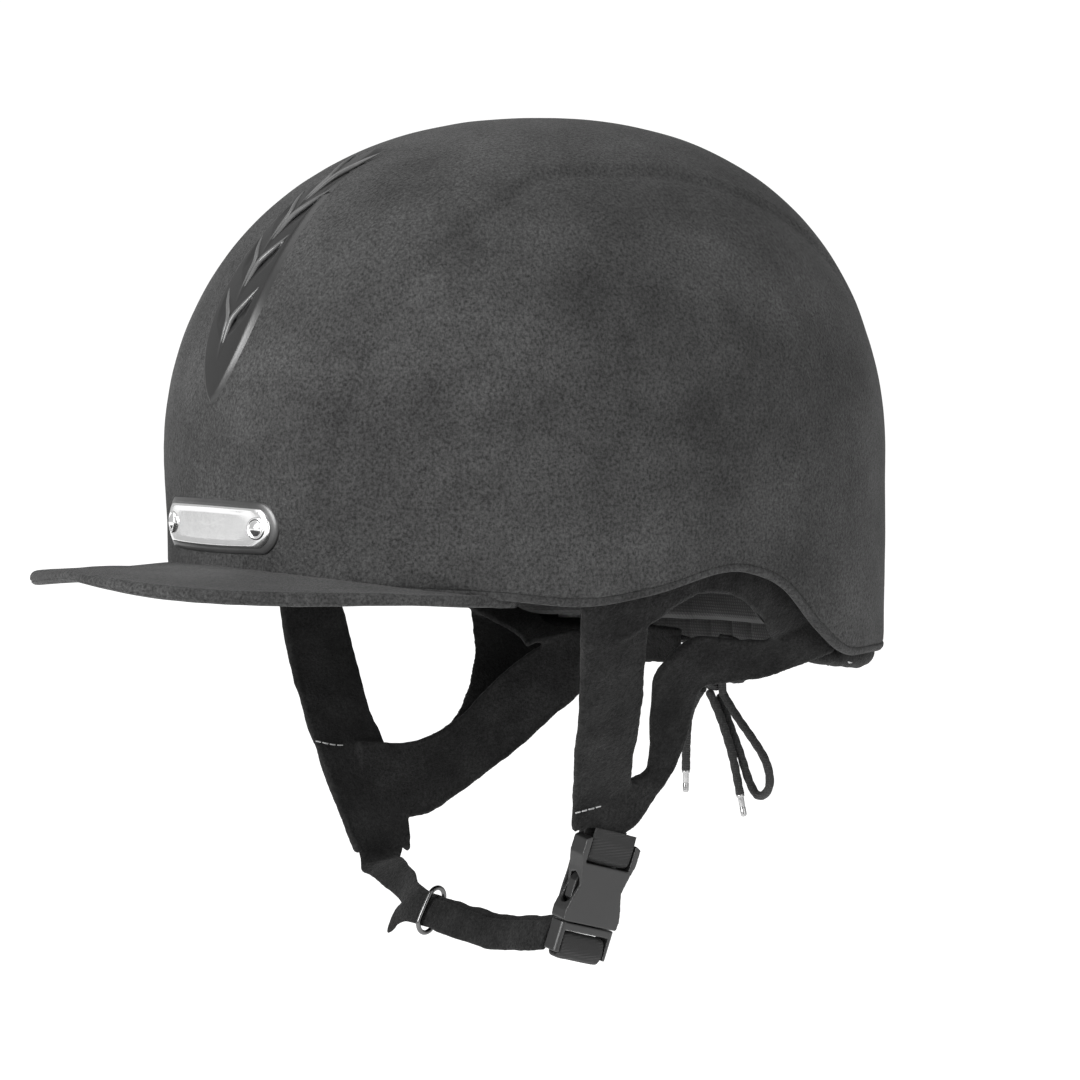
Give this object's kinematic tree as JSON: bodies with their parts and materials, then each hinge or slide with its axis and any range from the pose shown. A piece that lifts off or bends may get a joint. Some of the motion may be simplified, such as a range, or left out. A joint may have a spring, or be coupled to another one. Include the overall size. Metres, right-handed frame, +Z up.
{
  "type": "riding helmet",
  "caption": "Peaked riding helmet: suede-covered shell with a front vent strip and badge, foam liner, and a laced harness with a side-release chin strap.",
  "frame": {"origin": "centre of the head opening, level with the side rim", "axes": "+Z up through the crown, -Y towards the wearer's front and the peak, +X towards the wearer's left and the buckle"},
  "size_m": [0.228, 0.3361, 0.3078],
  "materials": {
    "suede_cover": "short-napped microfibre suede, dark grey",
    "harness_suede": "brushed microfibre over thin foam, near black",
    "hard_shell": "moulded shell, matt",
    "foam_liner": "expanded bead foam",
    "comfort_lining": "brushed knit over soft foam",
    "light_lining": "light ribbed wicking knit",
    "satin_plastic": "satin black moulded plastic",
    "gloss_black": "gloss black moulded plastic",
    "mesh": "fine woven wire mesh",
    "chrome": "bright polished plate",
    "edge_trim": "soft edge binding",
    "webbing": "napped webbing",
    "lace": "black braided cord",
    "steel": "plated steel"
  },
  "bodies": {
    "root": {"aglet_left": "steel", "aglet_right": "steel", "anchor_rivets": "steel", "anchor_washers": "steel", "badge_gasket": "gloss_black", "badge_plate": "chrome", "badge_rivets": "chrome", "buckle_backing": "webbing", "buckle_hanger": "webbing", "buckle_socket": "satin_plastic", "chin_strap": "webbing", "chin_strap_fold": "webbing", "crown_pad": "comfort_lining", "eps_liner": "foam_liner", "eyelets_left": "steel", "eyelets_right": "steel", "harness_panel_left": "harness_suede", "harness_panel_right": "harness_suede", "headband": "comfort_lining", "lace_end_left": "lace", "lace_end_right": "lace", "lace_knot": "lace", "lace_loop": "lace", "nape_lacing": "lace", "nape_lining": "light_lining", "nape_roll": "harness_suede", "outer_shell": "hard_shell", "peak_core": "hard_shell", "peak_cover": "suede_cover", "rim_trim": "edge_trim", "shell_cover": "suede_cover", "vent_mesh": "mesh", "vent_strip": "satin_plastic"},
    "plug": {"buckle_plug": "satin_plastic", "plug_strap_fold": "webbing"},
    "prong_front": {"prong_front": "satin_plastic"},
    "prong_rear": {"prong_rear": "satin_plastic"},
    "ring": {"keeper_ring": "chrome"}
  },
  "joints": [
    {"name": "buckle_release", "type": "slide", "parent": "root", "child": "plug", "axis": [-0.1392, -0.2563, -0.9565], "range_m": [0, 0.022], "deforming": ["prong_front", "prong_rear"]},
    {"name": "prong_front_squeeze", "type": "hinge", "parent": "plug", "child": "prong_front", "pos_m": [0.06218, -0.03472, -0.11687], "axis": [-0.9903, 0.036, 0.1344], "range_deg": [0, 6], "stiffness_Nm_per_rad": 0.02},
    {"name": "prong_rear_squeeze", "type": "hinge", "parent": "plug", "child": "prong_rear", "pos_m": [0.06218, -0.02062, -0.12065], "axis": [0.9903, -0.036, -0.1344], "range_deg": [0, 6], "stiffness_Nm_per_rad": 0.02},
    {"name": "keeper_ring_slide", "type": "slide", "parent": "root", "child": "ring", "axis": [0.9722, 0.1916, -0.1344], "range_m": [0, 0.014]}
  ]
}
